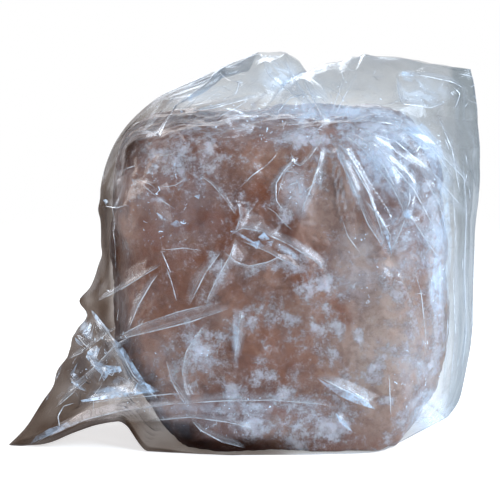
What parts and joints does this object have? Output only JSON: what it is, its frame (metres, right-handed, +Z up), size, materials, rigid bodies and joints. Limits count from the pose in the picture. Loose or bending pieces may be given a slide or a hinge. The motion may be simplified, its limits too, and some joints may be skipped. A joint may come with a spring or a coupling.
{
  "type": "rock salt chunk in a clear bag",
  "caption": "Roughly hewn block of pink rock salt, dusted with white salt powder, standing in a loose clear plastic bag with an open mouth at the top.",
  "frame": {"origin": "on the surface that the bag rests on, under the middle of the chunk", "axes": "+X to the right, +Y to the back, +Z up; -Y is the front, where the bag's long corner lies at the lower left"},
  "size_m": [0.1832, 0.1136, 0.1455],
  "materials": {
    "rock_salt": "translucent pinkish brown salt with white powdery crust in patches",
    "clear_film": "thin clear glossy film, creased"
  },
  "bodies": {
    "root": {"salt_chunk": "rock_salt", "plastic_bag": "clear_film"}
  },
  "joints": []
}
